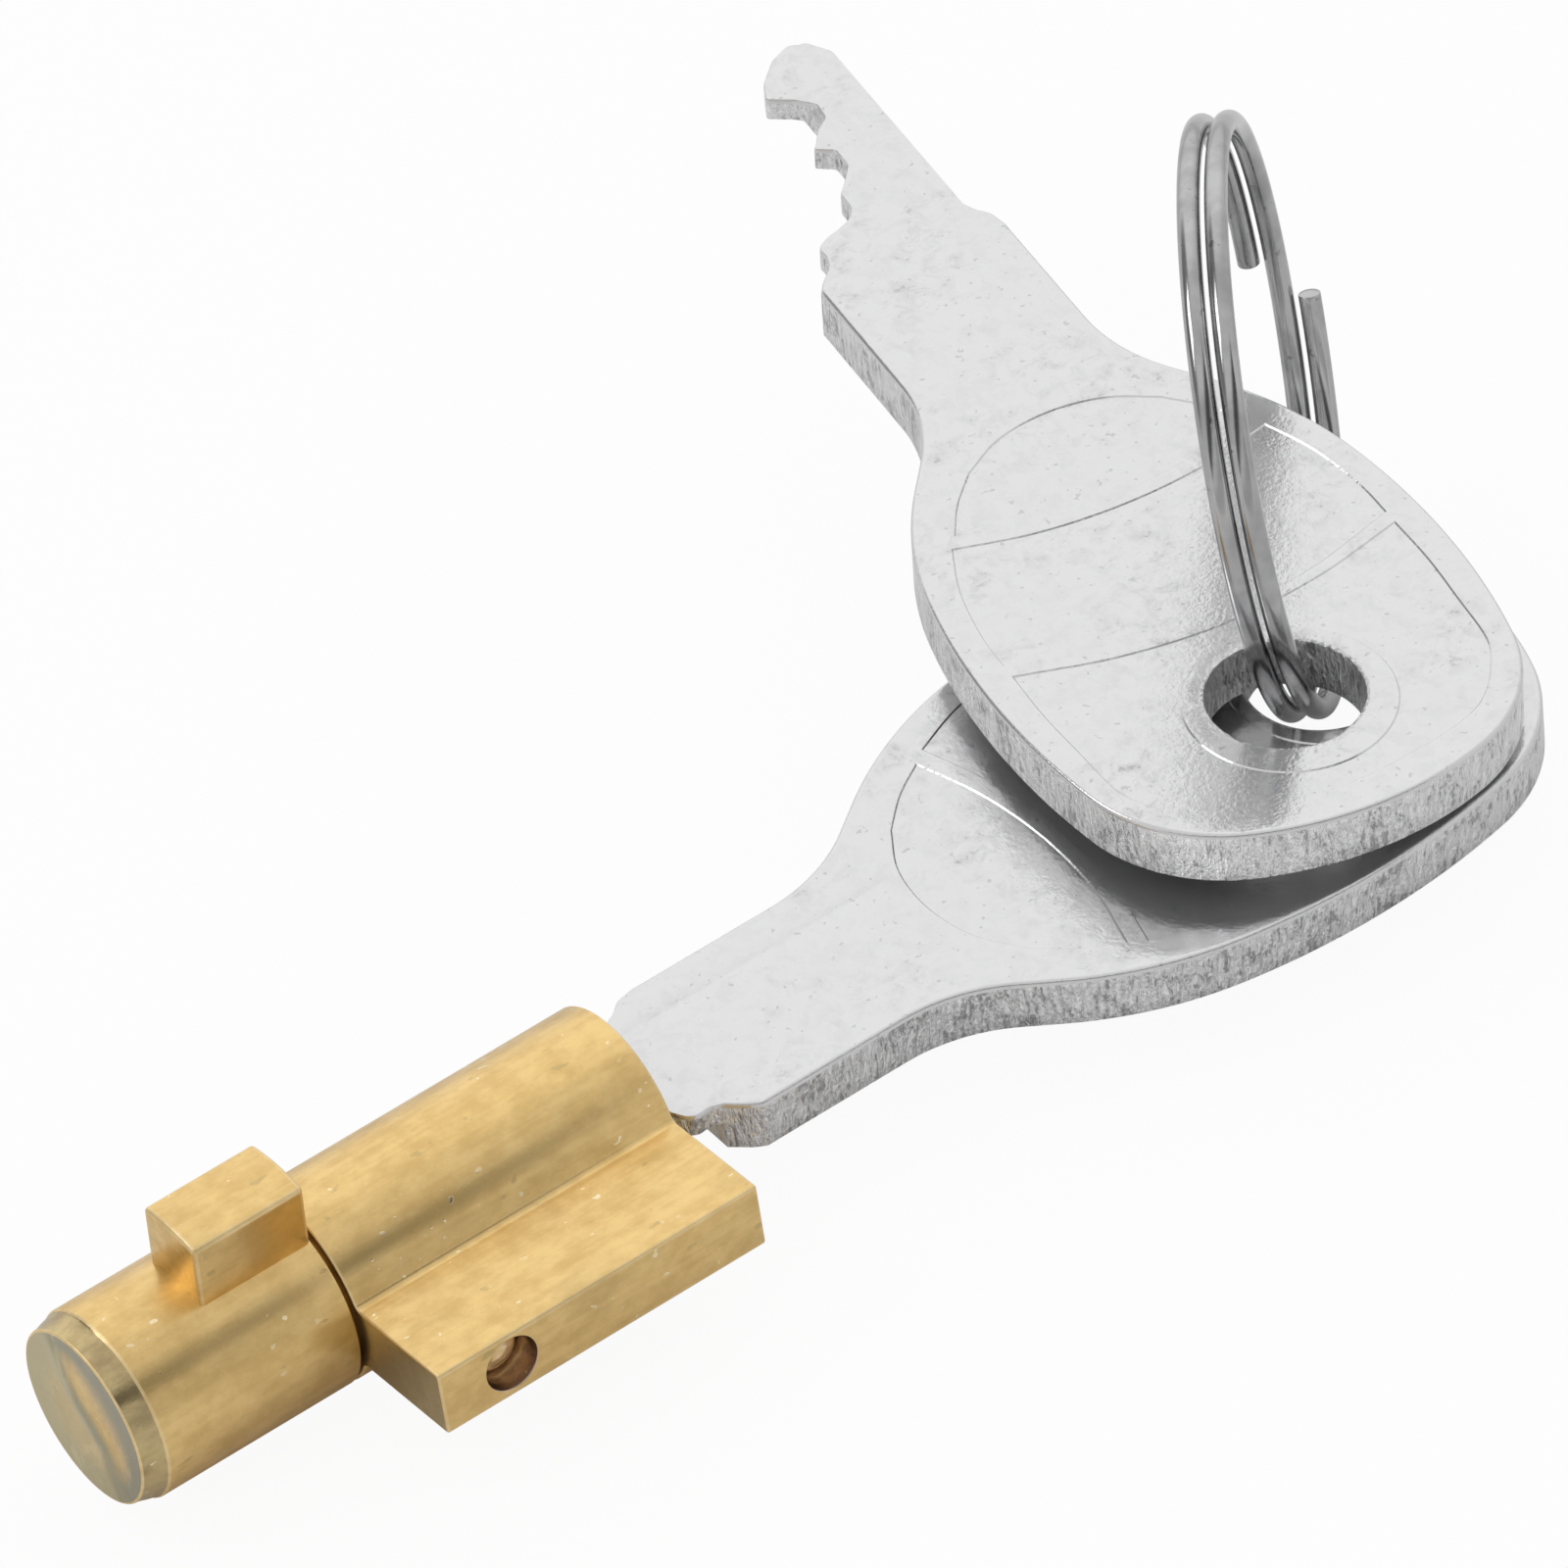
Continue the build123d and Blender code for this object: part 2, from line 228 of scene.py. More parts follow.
# nickel: the face's and the sheared wall's colours, and how strongly each mark shows
keyFinish = {
    "face": (0.720, 0.720, 0.725, 1),
    "soft": (0.560, 0.560, 0.565, 1),
    # shade: colour of the dark patches, partly painted dark reflections, and of the flecks
    "shade": (0.300, 0.300, 0.305, 1),
    "faceRough": 0.150,
    "mottle": 1.0,
    "metallic": 0.85,
    "rubs": 0.50,
    "darkPatchesAndReflections": 0.5,
    "flecks": 0.35,
    # wall: lighter than the face, as painted light on the sheared walls
    "wall": (0.860, 0.860, 0.865, 1),
    # painted shade in the wall's tears
    "wallTearShade": (0.120, 0.120, 0.125, 1),
    # painted glints on the wall
    "wallGlint": (0.95, 0.95, 0.95, 1),
    "wallRough": 0.12,
    "tears": 0.52,
    "glints": 0.9,
}
lipFinish = {"faceRough": 0.17, "mottle": 0.6}


def makeKeyFace(name, values=keyFinish):
    # dull nickel over a stamped face: soft clouds, a rubbed mottle everywhere, dark patches that are
    # partly rubbed marks and partly painted dark reflections, fine pits
    look = Look(name)
    spot = look.place()
    cloud = look.noise(spot, 260.0, 4.0, 0.6)
    mottle = look.noise(spot, 1150.0, 5.0, 0.70, 0.5)
    grain = look.noise(look.place((1, 1, 0.3)), 5200.0, 3.0, 0.6)
    patch = look.ramp(cloud, 0.42, 0.66)
    rubbed = look.ramp(mottle, 0.42, 0.66) * (0.35 + patch * 0.65) * values["mottle"]
    colour = look.mix(look.clamp(rubbed * values["rubs"]), values["face"], values["soft"])
    # dark patches: partly rubbed marks, partly painted dark reflections
    dark = look.ramp(mottle + grain * 0.25, 0.72, 0.84) * look.ramp(cloud, 0.50, 0.64) * values["mottle"]
    colour = look.mix(look.clamp(dark * values["darkPatchesAndReflections"]), colour, values["shade"])
    flecks = look.ramp(look.noise(spot, 2900.0, 2.0, 0.5), 0.66, 0.74)
    colour = look.mix(flecks * values["flecks"], colour, values["shade"])
    rough = values["faceRough"] + (cloud - 0.5) * 0.12 + (grain - 0.5) * 0.10
    rough = rough + rubbed * 0.10
    normal = look.bump(look.noise(spot, 420.0, 3.0, 0.5), 0.05, 0.00012)
    normal = look.bump(mottle, 0.22, 0.00006, normal)
    normal = look.bump(grain, 0.50, 0.000025, normal)
    return look.metal(colour, rough, normal, values["metallic"])


def makeKeyWall(name, values=keyFinish):
    # the sheared side of a stamped blank, painted lighter than the face as painted light: fine grains over
    # short upright tears, painted shade in the tears and painted glints between them
    look = Look(name)
    tears = look.noise(look.place((1, 1, 0.25)), 4200.0, 4.0, 0.65, 0.4)
    grains = look.noise(look.place((1, 1, 0.7)), 6000.0, 2.0, 0.6)
    cloud = look.noise(look.place(), 700.0, 3.0, 0.55)
    torn = tears * 0.65 + grains * 0.35 + (cloud - 0.5) * 0.45
    # painted shade: the tears painted dark
    dark = look.ramp(torn, 0.52, 0.62) * values["tears"]
    colour = look.mix(dark, values["wall"], values["wallTearShade"])
    # painted glints between the tears
    glint = look.ramp(0.50 - torn, 0.0, 0.08)
    colour = look.mix(glint * values["glints"], colour, values["wallGlint"])
    rough = values["wallRough"] + grains * 0.10
    normal = look.bump(tears, 1.0, 0.00030)
    normal = look.bump(grains, 0.7, 0.00008, normal)
    return look.metal(colour, rough, normal)


# the ring's wire, and the pieces inside the lock
wireFinish = {
    "pale": (0.50, 0.50, 0.505, 1),
    "deep": (0.36, 0.36, 0.365, 1),
    "nick": (0.16, 0.16, 0.165, 1),
    "nicks": 0.6,
    "rough": 0.10,
}
waferFinish = {"pale": (0.72, 0.50, 0.20, 1), "deep": (0.50, 0.34, 0.13, 1), "rough": 0.3}
springFinish = {"pale": (0.55, 0.55, 0.57, 1), "deep": (0.42, 0.42, 0.44, 1), "rough": 0.25}


def makeWireSteel(name, values=wireFinish):
    # drawn and plated wire: soft clouds, a fine grain and small nicks
    look = Look(name)
    spot = look.place()
    cloud = look.noise(spot, 420.0, 3.0, 0.6)
    fine = look.noise(spot, 4200.0, 3.0, 0.6)
    nick = look.ramp(look.noise(spot, 1900.0, 2.0, 0.5), 0.66, 0.76)
    colour = look.mix(look.ramp(cloud, 0.35, 0.7), values["pale"], values["deep"])
    colour = look.mix(nick * values["nicks"], colour, values["nick"])
    rough = values["rough"] + cloud * 0.10
    normal = look.bump(fine, 0.10, 0.00001)
    normal = look.bump(nick, 0.2, 0.00002, normal)
    return look.metal(colour, rough, normal)


def makeStampedBrass(name, values=waferFinish):
    # two brass tones in soft clouds, with a fine grain
    look = Look(name)
    cloud = look.noise(look.place(), 900.0, 3.0, 0.6)
    colour = look.mix(look.ramp(cloud, 0.3, 0.7), values["pale"], values["deep"])
    normal = look.bump(look.noise(look.place(), 5000.0, 2.0, 0.5), 0.15, 0.00001)
    return look.metal(colour, values["rough"] + cloud * 0.1, normal)


def makeSpringSteel(name, values=springFinish):
    # two steel tones in small clouds
    look = Look(name)
    cloud = look.noise(look.place(), 3000.0, 2.0, 0.6)
    colour = look.mix(cloud, values["deep"], values["pale"])
    normal = look.bump(cloud, 0.1, 0.00001)
    return look.metal(colour, values["rough"] + cloud * 0.1, normal)


class Skin:
    # gathers the patches of one piece and joins them
    def __init__(self):
        self.blocks = []
        self.faces = []
        self.finishes = []
        self.count = 0

    def rings(self, block, finish=0, flip=False, skip=None):
        # quads between closed rings of equally many points; finish is one number or one a quad
        block = np.asarray(block, float)
        rows, columns = block.shape[:2]
        index = np.arange(rows * columns).reshape(rows, columns) + self.count
        index = np.concatenate([index, index[:, :1]], 1)
        quads = np.stack([index[:-1, :-1], index[:-1, 1:], index[1:, 1:], index[1:, :-1]], -1)
        finish = np.broadcast_to(finish, quads.shape[:2])
        if skip is not None:
            quads, finish = quads[~skip], finish[~skip]
        quads = quads.reshape(-1, 4)
        finish = finish.reshape(-1)
        self.take(block.reshape(-1, 3), quads[:, ::-1] if flip else quads, finish)

    def take(self, points, faces, finish=0):
        # adds points, and faces that are numbered from the skin's own count
        self.blocks.append(points)
        self.faces += faces.tolist()
        self.finishes += np.broadcast_to(finish, len(faces)).tolist()
        self.count += len(points)

    def fill(self, loops, inside, lift, extra=None):
        # flat triangles between closed loops of 2-D points, then lifted into space
        points = [np.asarray(loop, float) for loop in loops]
        edges = []
        start = 0
        for loop in points:
            size = len(loop)
            edges += [(start + k, start + (k + 1) % size) for k in range(size)]
            start += size
        if extra is not None:
            points.append(extra)
        flat = np.concatenate(points)
        made = delaunay_2d_cdt([Vector(p) for p in flat], edges, [], 0, 1e-7)
        spots = np.array([(p.x, p.y) for p in made[0]])
        triangles = np.array(made[2])
        triangles = triangles[inside(spots[triangles].mean(1))]
        used, back = np.unique(triangles, return_inverse=True)
        self.take(lift(spots[used]), back.reshape(-1, 3) + self.count)


def withinLoop(spots, loop):
    # even-odd test of many points against one closed loop
    loop = np.asarray(loop)
    after = np.roll(loop, -1, 0)
    x, y = spots[:, :1], spots[:, 1:]
    crosses = (loop[:, 1] > y) != (after[:, 1] > y)
    rise = after[:, 1] - loop[:, 1]
    rise = np.where(np.abs(rise) < 1e-12, 1e-12, rise)
    where = loop[:, 0] + (y - loop[:, 1]) * (after[:, 0] - loop[:, 0]) / rise
    return (crosses & (x < where)).sum(1) % 2 == 1


def loopDistance(spots, loop):
    # least distance of each point to a closed loop's segments
    loop = np.asarray(loop)
    run = np.roll(loop, -1, 0) - loop
    reach = spots[:, None] - loop[None]
    share = (reach * run).sum(-1) / np.maximum((run * run).sum(-1), 1e-12)
    share = np.clip(share, 0, 1)
    return np.sqrt(((reach - share[..., None] * run) ** 2).sum(-1)).min(1)


def rightOf(run):
    # unit vectors to the right of each run
    out = np.stack([run[:, 1], -run[:, 0]], 1)
    return out / norm(out, axis=1)[:, None]


def loopNormals(loop):
    # outward normals of a counter-clockwise loop
    return rightOf(np.roll(loop, -1, 0) - np.roll(loop, 1, 0))


def arcPoints(centre, radius, start, end, count):
    # points on a circle between two angles in degrees
    angle = np.radians(np.linspace(start, end, count))
    return np.stack([centre[0] + radius * np.cos(angle), centre[1] + radius * np.sin(angle)], 1)


def circlePoints(centre, radius, count=96):
    # evenly spaced points round a whole circle
    return arcPoints(centre, radius, 0, 360, count + 1)[:-1]


def acrossX(place, loop):
    # a loop of (y, z) points stood up at one place along X
    return np.column_stack([np.full(len(loop), place), loop])


def atHeight(loop, height):
    # a loop of (u, v) points lifted to one height, or to one height a point
    return np.column_stack([loop, np.broadcast_to(height, len(loop))])


def tidyLoop(loop, least=0.004):
    # leaves out points that fall on their neighbour
    gap = norm(loop - np.roll(loop, 1, 0), axis=1)
    return loop[gap > least]


def softCorners(points, radius, steps=6):
    # each corner of an open line becomes a short parabola that starts radius away
    points = np.asarray(points, float)
    share = np.linspace(0, 1, steps)[:, None]
    parts = [points[:1]]
    for before, corner, after in zip(points, points[1:], points[2:]):
        inward, outward = before - corner, after - corner
        inLength, outLength = norm(inward), norm(outward)
        first = corner + inward / inLength * min(radius, inLength * 0.48)
        last = corner + outward / outLength * min(radius, outLength * 0.48)
        parts.append((1 - share) ** 2 * first + 2 * share * (1 - share) * corner + share ** 2 * last)
    return np.concatenate(parts + [points[-1:]])


def denser(points, spacing):
    # adds points along an open line so that none are further apart than spacing
    parts = []
    for start, end in zip(points[:-1], points[1:]):
        count = max(1, int(math.ceil(norm(end - start) / spacing)))
        parts.append(start + (end - start) * np.linspace(0, 1, count + 1)[:-1, None])
    return np.concatenate(parts + [points[-1:]])


def newObject(name, data):
    # a new object in the scene
    made = bpy.data.objects.new(name, data)
    bpy.context.scene.collection.objects.link(made)
    return made


def makePiece(name, skin, finishes, body, nodes, sharp=32.0, place=None):
    # one mesh object from the gathered patches, welded, smooth apart from its sharp edges
    points = np.concatenate(skin.blocks)
    if place is not None:
        points = points @ place[0].T + place[1]
    mesh = bpy.data.meshes.new(name)
    mesh.from_pydata((points * millimetre).tolist(), [], skin.faces)
    mesh.polygons.foreach_set("material_index", np.array(skin.finishes, dtype=np.int32))
    shell = bmesh.new()
    shell.from_mesh(mesh)
    bmesh.ops.remove_doubles(shell, verts=shell.verts, dist=weldGap * millimetre)
    bmesh.ops.dissolve_degenerate(shell, edges=shell.edges, dist=sliverGap * millimetre)
    bmesh.ops.recalc_face_normals(shell, faces=shell.faces)
    openEdges = sum(1 for edge in shell.edges if len(edge.link_faces) != 2)
    shell.to_mesh(mesh)
    shell.free()
    mesh.shade_smooth()
    mesh.set_sharp_from_angle(angle=math.radians(sharp))
    piece = newObject(name, mesh)
    for finish in finishes:
        mesh.materials.append(finish)
    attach(piece, body)
    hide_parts(*nodes)
    print(name, "faces", len(mesh.polygons), "open edges", openEdges)


def rolledRows(low, high, roll):
    # (place along, inset) of a bar whose two ends are rounded off
    turn = np.linspace(math.pi / 2, 0, 5)
    first = np.stack([low + roll * (1 - np.sin(turn)), roll * (1 - np.cos(turn))], 1)
    last = np.stack([low + high - first[:, 0], first[:, 1]], 1)[::-1]
    return np.concatenate([first, last])


def wornHighlitEnds(rows, loop):
    # finish of each quad of such a bar: 1 on its two rolled ends, 0 between them
    wornHighlit = np.ones((len(rows) - 1, len(loop)), int)
    wornHighlit[len(rows) // 2 - 1] = 0
    return wornHighlit


# housing: round barrel and flat fin
housing = {
    "length": 14.84,
    "radius": 4.0,
    "finFace": -8.98,
    "finUnder": -1.60,
    "finOver": 1.29,
    "rootFillet": 0.38,
    "finCorner": 0.15,
    "endRoll": 0.10,
    "bore": 3.30,
    "boreEdge": 0.05,
    "groove": (0.4, 14.4, 3.5),  # the bore's hidden wide stretch: start, end and radius
    "pinX": 3.2,
    "pinZ": -0.105,
    "pinHole": 1.16,
    "pinMouth": 0.03,
    "pinDepth": 5.4,
}


def housingOutline(values):
    # cross-section in (y, z): barrel arc, two root fillets, fin with rounded corners
    big, small = values["radius"], values["rootFillet"]
    over, under = values["finOver"], values["finUnder"]
    face, corner = values["finFace"], values["finCorner"]
    reach = big + small
    highZ, lowZ = over + small, under - small
    highY = -math.sqrt(reach ** 2 - highZ ** 2)
    lowY = -math.sqrt(reach ** 2 - lowZ ** 2)
    highTurn = math.degrees(math.atan2(highZ, highY))
    lowTurn = math.degrees(math.atan2(lowZ, lowY))
    parts = [
        arcPoints((0, 0), big, lowTurn, highTurn, 150),
        arcPoints((highY, highZ), small, highTurn - 180, -90, 9),
        denser(np.array([(highY, over), (face + corner, over)]), 0.6),
        arcPoints((face + corner, over - corner), corner, 90, 180, 7),
        arcPoints((face + corner, under + corner), corner, 180, 270, 7),
        denser(np.array([(face + corner, under), (lowY, under)]), 0.6),
        arcPoints((lowY, lowZ), small, 90, lowTurn + 180, 9),
    ]
    return tidyLoop(np.concatenate(parts))


def buildHousing(values, finishes):
    # the cross-section carried along X with rolled ends, then the pin's hole, both ends and the bore
    skin = Skin()
    loop = housingOutline(values)
    out = loopNormals(loop)
    rows = rolledRows(0, values["length"], values["endRoll"])
    block = [acrossX(along, loop - out * inset) for along, inset in rows]
    face = values["finFace"]
    onFace = (np.abs(loop[:, 0] - face) < 1e-6) & (np.abs(np.roll(loop[:, 0], -1) - face) < 1e-6)
    middle = len(rows) // 2 - 1
    skip = np.zeros((len(rows) - 1, len(loop)), bool)
    skip[middle] = onFace
    # worn edges, paler as wear and as a painted highlight: both ends' rolled rims and the fin's two long
    # corners
    wornHighlit = wornHighlitEnds(rows, loop)
    cornerEnd = face + values["finCorner"]
    turned = (loop[:, 0] < cornerEnd) & (np.roll(loop[:, 0], -1) < cornerEnd + 1e-6)
    wornHighlit[:, turned & ~onFace] = 1
    skin.rings(block, wornHighlit, skip=skip)
    # fin's outer face, with the pin's hole and its wall
    first = int(np.nonzero(onFace)[0][0])
    z0, z1 = loop[(first + 1) % len(loop), 1], loop[first, 1]
    x0, x1 = rows[middle, 0], rows[middle + 1, 0]
    centre = (values["pinX"], values["pinZ"])
    hole, flare, deep = values["pinHole"], values["pinMouth"], values["pinDepth"]
    mouth = circlePoints(centre, hole + flare, 72)
    frameLoop = np.array([(x0, z0), (x1, z0), (x1, z1), (x0, z1)])

    def lift(spots):
        return np.column_stack([spots[:, 0], np.full(len(spots), face), spots[:, 1]])

    skin.fill([frameLoop, mouth], lambda spots: ~withinLoop(spots, mouth), lift)
    wall = []
    for depth, radius in ((0, hole + flare), (0.015, hole + 0.01), (0.04, hole), (deep, hole), (deep, 0)):
        wall.append(lift(circlePoints(centre, radius, 72)) + np.array([0, depth, 0]))
    skin.rings(wall, 2)
    # ends and bore
    inner, edge = values["bore"], values["boreEdge"]
    turn = np.arctan2(loop[:, 1], loop[:, 0])
    spokes = np.stack([np.cos(turn), np.sin(turn)], 1)
    start, end = rows[0, 0], rows[-1, 0]
    for along, inset, side in ((start, rows[0, 1], 1), (end, rows[-1, 1], -1)):
        flat = [
            acrossX(along, loop - out * inset),
            acrossX(along, spokes * (inner + edge)),
            acrossX(along + side * edge, spokes * inner),
        ]
        skin.rings(flat)
    grooveStart, grooveEnd, groove = values["groove"]
    stretches = ((start + edge, inner), (grooveStart, groove), (grooveEnd, groove), (end - edge, inner))
    skin.rings([acrossX(along, spokes * wide) for along, wide in stretches])
    makePiece("housingBrass", skin, finishes, "housing", ["housing"])


# retaining pin, in the fin's hole
pin = {
    "radius": 1.13,
    "head": -7.9,
    "tip": -2.47,
    "dome": 0.42,
    "dimple": ((0.0, 0.10), (0.30, 0.07), (0.48, 0.01)),
}


def buildPin(values, finishes):
    # lathe about the pin's own axis: flat tip, straight side, rounded end with a dimple
    skin = Skin()
    radius, head, dome = values["radius"], values["head"], values["dome"]
    turn = np.radians(np.linspace(0, 90, 9))
    profile = [(wide, head + deep) for wide, deep in values["dimple"]]
    profile += list(zip(radius - dome + dome * np.sin(turn), head + dome * (1 - np.cos(turn))))
    profile += [(radius, values["tip"]), (0.0, values["tip"])]
    block = []
    for wide, y in profile:
        ring = circlePoints((housing["pinX"], housing["pinZ"]), wide, 64)
        block.append(np.column_stack([ring[:, 0], np.full(64, y), ring[:, 1]]))
    skin.rings(block)
    makePiece("retainingPinBrass", skin, finishes, "housing", ["retaining_pin"], 40)


# rotor: tail, lug and plug
rotor = {
    "turn": 5.0,
    "radius": 4.0,
    "seam": -0.20,
    "tailEnd": -10.07,
    "chamferLength": 1.04,
    "endRadius": 3.70,
    "endRoll": 0.10,
    "dish": 0.07,
    "ridge": 0.045,
    "plug": 3.25,
    "plugEnd": 14.84,
    "plugSoft": 0.06,
    "plugMiddle": ((0.5, 0.0), (0.9, 0.17), (13.9, 0.17), (14.3, 0.0)),  # place and extra radius
    "keywayDepth": 12.0,
    "lugTop": 6.75,
    "lugRoot": 3.3,
    "lugNear": -1.49,
    "lugFar": 1.72,
    "lugStart": -0.25,
    "lugEnd": -5.29,
    "lugCorner": 0.20,
    "lugRoll": 0.18,
}


def restTurn():
    # turning matrix, about X, of everything that rides the rotor at rest
    lean = math.radians(rotor["turn"])
    return np.array([[1, 0, 0],
                     [0, math.cos(lean), -math.sin(lean)],
                     [0, math.sin(lean), math.cos(lean)]])


def keywayLoop():
    # blade's space in (v, n): full thickness at the back, the thin web on the cut side
    half = key["thickness"] / 2 + 0.05
    ledge = key["thickness"] / 2 - key["web"] - 0.05
    back = key["back"] + key["offset"] + 0.05
    cuts = -2.04
    step = key["stepV"] + key["offset"] - 0.05
    corners = [(back, half), (cuts, half), (cuts, ledge), (step, ledge), (step, -half), (back, -half)]
    return np.array(corners)


def buildTail(values, finishes):
    # a dished end face, tail and plug lathed round X, and the plug's face with the keyway
    skin = Skin()
    end, seam, soft = values["tailEnd"], values["seam"], values["endRoll"]
    radius, small = values["radius"], values["endRadius"]
    rim = small - soft
    # end face: a shallow dish with the ridge of the parting tool across it
    rings = np.linspace(0, rim, 22)[:, None]
    angle = np.linspace(0, 2 * math.pi, 145)[:-1]
    y, z = rings * np.cos(angle), rings * np.sin(angle)
    sideY, sideZ = brassFinish["scarSide"]
    across = y * sideY + z * sideZ
    along = y * sideZ - z * sideY
    bend = across + 0.35 * np.sin(along * 0.9)
    ridge = values["ridge"] * np.exp(-(bend / 0.40) ** 2) * (1 / (1 + np.exp((along - 1.6) * 2)))
    ridge -= 0.03 * np.exp(-((bend + 1.1) / 0.8) ** 2)
    dish = values["dish"] * (1 - (rings / rim) ** 4)
    fade = 1 - (rings / rim) ** 6
    skin.rings(np.stack([end + dish + 0 * y - ridge * fade, y, z], -1))
    # worn lip, turned band and step of the tail, its worn edge at the seam, and the plug
    turn = np.radians(np.linspace(0, 80, 7))
    lip = np.stack([end + 0.09 * (1 - np.cos(turn)), rim + soft * np.sin(turn)], 1)
    bandEnd = end + values["chamferLength"]
    band = [(end + 0.30, small + 0.03), (bandEnd - 0.45, small + 0.12), (bandEnd - 0.16, small + 0.19)]
    step = [(bandEnd - 0.05, small + 0.235), (bandEnd, small + 0.275), (bandEnd + 0.06, radius)]
    roll = np.radians(np.linspace(90, 0, 6))
    edge = np.stack([seam - soft + soft * np.cos(roll), radius - soft + soft * np.sin(roll)], 1)
    profile = list(lip) + band + step + [(bandEnd + 2.5, radius), (-3.0, radius)] + list(edge)
    plug, plugEnd, plugRim = values["plug"], values["plugEnd"], values["plug"] - values["plugSoft"]
    profile += [(seam, plug)] + [(x, plug + more) for x, more in values["plugMiddle"]]
    profile += [(plugEnd - values["plugSoft"], plug), (plugEnd, plugRim)]
    stretches = np.zeros(len(profile) - 1, int)
    # worn lip: paler, as wear and a painted highlight
    stretches[:len(lip) - 1] = 1
    # turned band: darker, partly painted shade
    stretches[len(lip) - 1:len(lip) + len(band)] = 2
    # step: paler, as wear and a painted highlight
    stretches[len(lip) + len(band):len(lip) + len(band) + len(step) - 1] = 1
    block = [acrossX(x, circlePoints((0, 0), wide, 144)) for x, wide in profile]
    skin.rings(block, stretches[:, None])
    # plug's face with the keyway, and the keyway's walls and bottom
    slot = keywayLoop() @ restTurn()[1:, 1:].T
    rimLoop = circlePoints((0, 0), plugRim, 144)

    def inside(spots):
        return (np.hypot(spots[:, 0], spots[:, 1]) < plug) & ~withinLoop(spots, slot)

    skin.fill([rimLoop, slot], inside, lambda spots: acrossX(plugEnd, spots))
    deep = plugEnd - values["keywayDepth"]
    skin.rings([acrossX(place, slot) for place in (plugEnd, deep)])
    skin.fill([slot], lambda spots: withinLoop(spots, slot), lambda spots: acrossX(deep, spots))
    makePiece("rotorBrass", skin, finishes, "rotor", ["rotor"], 28)


def buildLug(values, finishes):
    # outline of two sides, rounded corners and an arched top, carried along X with rolled ends
    skin = Skin()
    top, corner = values["lugTop"], values["lugCorner"]
    sides = []
    for side in (values["lugNear"], values["lugFar"]):
        turn = math.asin((abs(side) - corner) / (top - corner))
        spread = math.degrees(turn)
        middle = (math.sin(turn) * (top - corner), math.cos(turn) * (top - corner))
        bend = arcPoints(middle, corner, 0, 90 - spread, 6)
        straight = denser(np.array([(abs(side), values["lugRoot"]), (abs(side), bend[0, 1])]), 0.4)
        sides.append((spread, np.concatenate([straight, bend])))
    (nearSpread, nearSide), (farSpread, farSide) = sides
    crown = arcPoints((0, 0), top, 90 - farSpread, 90 + nearSpread, 16)
    outline = tidyLoop(np.concatenate([farSide, crown, nearSide[::-1] * np.array([-1, 1])]))
    out = loopNormals(outline)
    out[0], out[-1] = (1, 0), (-1, 0)
    rows = rolledRows(values["lugEnd"], values["lugStart"], values["lugRoll"])
    block = [acrossX(place, outline - out * inset) for place, inset in rows]
    # worn edges, paler as wear and as a painted highlight: both rolled ends and the two long corners
    wornHighlit = wornHighlitEnds(rows, outline)
    run = np.roll(outline, -1, 0) - outline
    slanted = np.abs(run[:, 0] * run[:, 1]) > 1e-6
    wornHighlit[:, slanted & (norm(run, axis=1) < 0.06)] = 1
    skin.rings(block, wornHighlit)
    for end in (0, -1):
        ring, where = block[end][:, 1:], rows[end, 0]
        skin.fill([ring], lambda spots: withinLoop(spots, ring), lambda spots: acrossX(where, spots))
    makePiece("lugBrass", skin, finishes, "rotor", ["rotor"], 28, (restTurn(), np.zeros(3)))


# keys: both have one shape; u runs from the shoulder to the bow, v across
key = {
    "thickness": 2.33,
    "shoulder": 18.17,
    "offset": -0.685,
    "stemHalf": 4.13,
    "back": 3.26,
    "holeU": 30.27,
    "hole": 3.1,
    "bossU": 30.65,
    "boss": 4.15,
    "sunk": 0.05,
    "slope": 0.06,
    "fluteV": 2.24,
    "fluteEnd": 11.2,
    "fluteDeep": 0.035,
    "lip": 0.24,
    "underLip": 0.12,
    "lipProfile": ((1.0, 0.0), (0.62, 0.012), (0.32, 0.045), (0.12, 0.10), (0.0, 0.20)),  # share in, drop
    "holeProfile": ((0.14, 0.0), (0.07, 0.012), (0.02, 0.05), (0.0, 0.13)),  # inset, drop
    "web": 1.0,
    "stepV": 1.4,
    "stepU": -1.2,
    "spareHole": (26.467, -2.679, 3.230),
    "spareAlong": (-0.1700, -0.9851, 0.0253),
    "spareFacing": (0.0449, 0.0179, 0.9988),
    "spareSlant": 0.025,
}

# blade's edge in (u, v) from the shoulder round the cuts and back
keyCuts = [
    (0.0, -4.13), (-0.45, -3.85), (-1.2, -3.15), (-1.7, -2.95), (-2.3, -3.0), (-2.6, -2.8),
    (-2.9, -2.3), (-3.1, -1.7), (-3.45, -1.05), (-3.95, -0.7), (-4.95, -0.68), (-5.6, -0.15),
    (-6.4, 0.42), (-7.45, 0.43), (-7.95, -0.3), (-8.35, 0.02), (-8.95, 0.4), (-9.5, 1.05),
    (-10.4, 1.12), (-11.1, 0.45), (-11.7, -0.5), (-12.7, -0.08), (-13.8, 0.85), (-14.33, 1.8),
    (-14.1, 2.6), (-13.1, 3.26), (-1.9, 3.26), (-1.4, 3.5), (-0.85, 3.95), (0.0, 4.13),
]

# bow's edge from the stem, as (kind, length or radius, turn in degrees)
bowMoves = [
    ("line", 6.6, 0), ("arc", 7.6, 35.6), ("line", 1.6, 0),
    ("arc", 16.8, -24.6), ("arc", 32.6, -22.5), ("arc", 6.9, -57.5),
]


